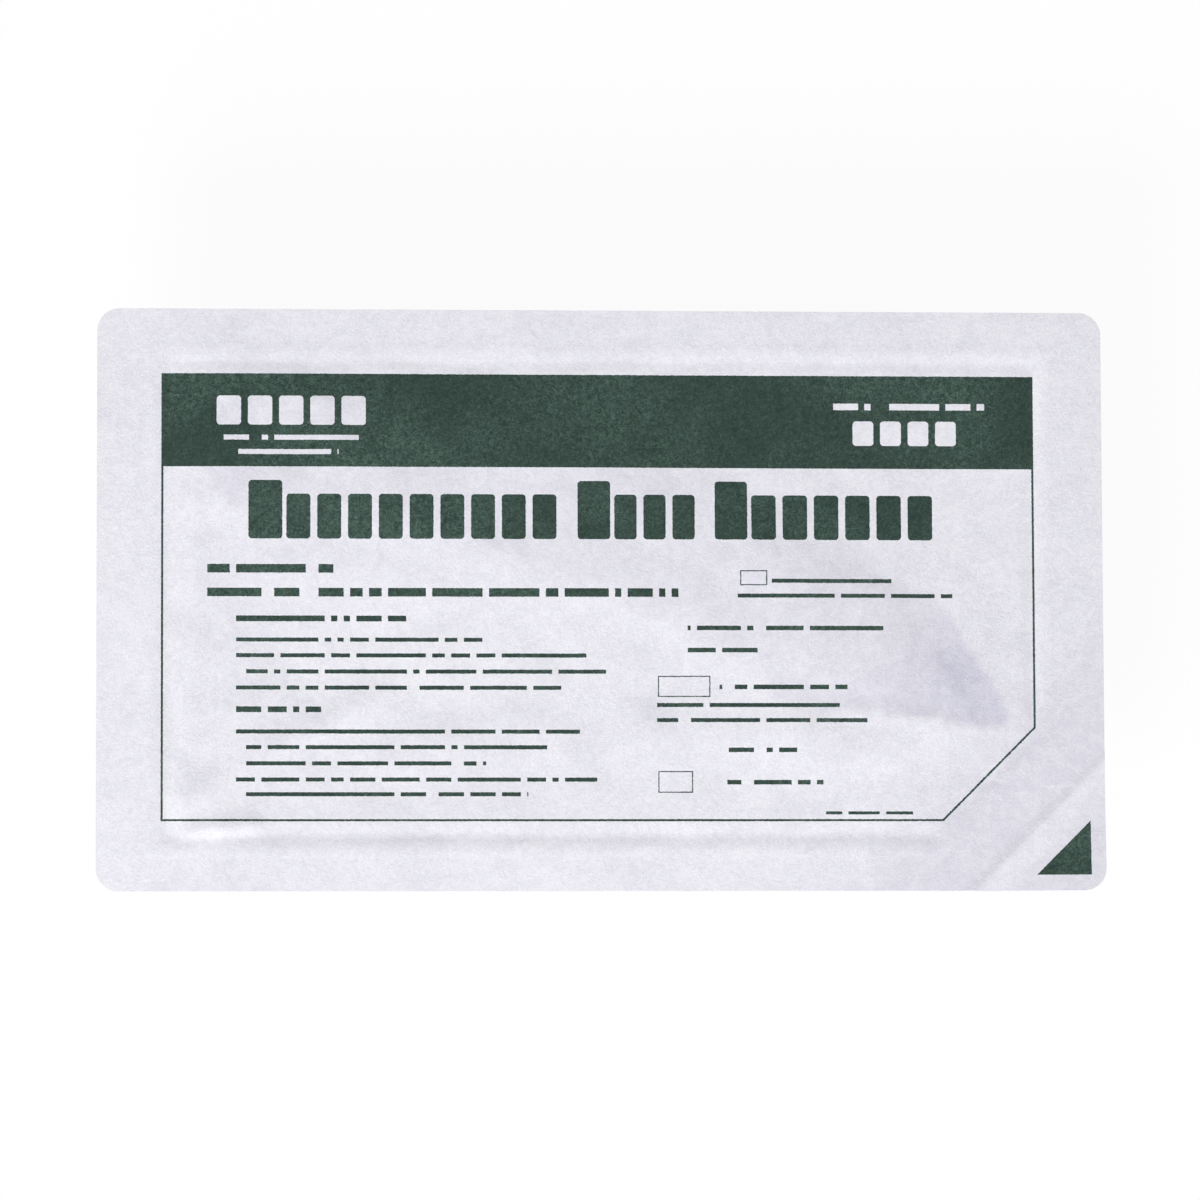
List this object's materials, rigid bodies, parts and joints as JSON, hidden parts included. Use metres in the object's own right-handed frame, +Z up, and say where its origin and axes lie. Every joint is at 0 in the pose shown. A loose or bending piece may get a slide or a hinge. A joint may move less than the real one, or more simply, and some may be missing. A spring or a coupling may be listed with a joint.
{
  "type": "skin stapler in peel pack",
  "caption": "Sealed peel pack, a clear formed tray with a printed lid, holding a disposable skin stapler whose squeezed trigger drives a former that closes a staple.",
  "frame": {"origin": "middle of the pack's outline at the height of the tray's floor, on which the pack lies", "axes": "+X along the pack towards the stapler's nose and the peel corner, +Y across it towards the green band, +Z up through the printed lid"},
  "size_m": [0.2, 0.1156, 0.0255],
  "materials": {
    "clear_tray": "clear formed plastic",
    "lid_sheet": "spun-bonded sheet",
    "shell_plastic": "fine matt moulding",
    "trigger_plastic": "fine matt moulding",
    "steel": "ground",
    "spring_steel": "drawn wire and strip",
    "cartridge_plastic": "moulded",
    "clear_cover": "clear moulding",
    "follower_plastic": "moulded",
    "staple_wire": "bright wire"
  },
  "bodies": {
    "pack": {"blister_tray": "clear_tray", "lid_sealed_corner": "lid_sheet", "shell_left": "shell_plastic", "shell_right": "shell_plastic", "trigger_pin": "steel", "return_spring": "spring_steel", "nose_plate": "steel", "anvil_track": "steel", "cartridge_body": "cartridge_plastic", "cartridge_cover": "clear_cover", "ejector_spring": "spring_steel", "follower_spring": "spring_steel", "ready_staple": "staple_wire"},
    "lid": {"lid_panel": "lid_sheet"},
    "lid_corner": {"lid_peel_corner": "lid_sheet"},
    "trigger": {"trigger": "trigger_plastic", "drive_arm": "steel"},
    "former": {"staple_former": "steel"},
    "staple_feed": {"staple_strip": "staple_wire", "follower": "follower_plastic"}
  },
  "joints": [
    {"name": "lid_peel", "type": "hinge", "parent": "pack", "child": "lid", "pos_m": [-0.085, 0.04275, 0.02545], "axis": [-0.7071, -0.7071, 0], "range_deg": [0, 165]},
    {"name": "corner_peel", "type": "hinge", "parent": "lid", "child": "lid_corner", "pos_m": [0.087, -0.04475, 0.02545], "axis": [-0.7071, -0.7071, 0], "range_deg": [0, 110]},
    {"name": "trigger_squeeze", "type": "hinge", "parent": "pack", "child": "trigger", "pos_m": [0.06051, -0.01234, 0.0129], "axis": [0, 0, -1], "range_deg": [0, 22], "stiffness_Nm_per_rad": 0.6, "springref_deg": -5.73, "deforming": ["return_spring"]},
    {"name": "former_slide", "type": "slide", "parent": "pack", "child": "former", "axis": [0.5299, -0.848, 0], "range_m": [0, 0.00398], "deforming": ["ready_staple"]},
    {"name": "staple_feed_slide", "type": "slide", "parent": "pack", "child": "staple_feed", "axis": [-0.9925, 0.1219, 0], "range_m": [0, 0.005], "stiffness_N_per_m": 60, "springref_m": -0.01, "deforming": ["follower_spring"]}
  ],
  "couplings": [
    {"joint": "former_slide", "follows": "trigger_squeeze", "m_per_rad": 0.010336}
  ]
}
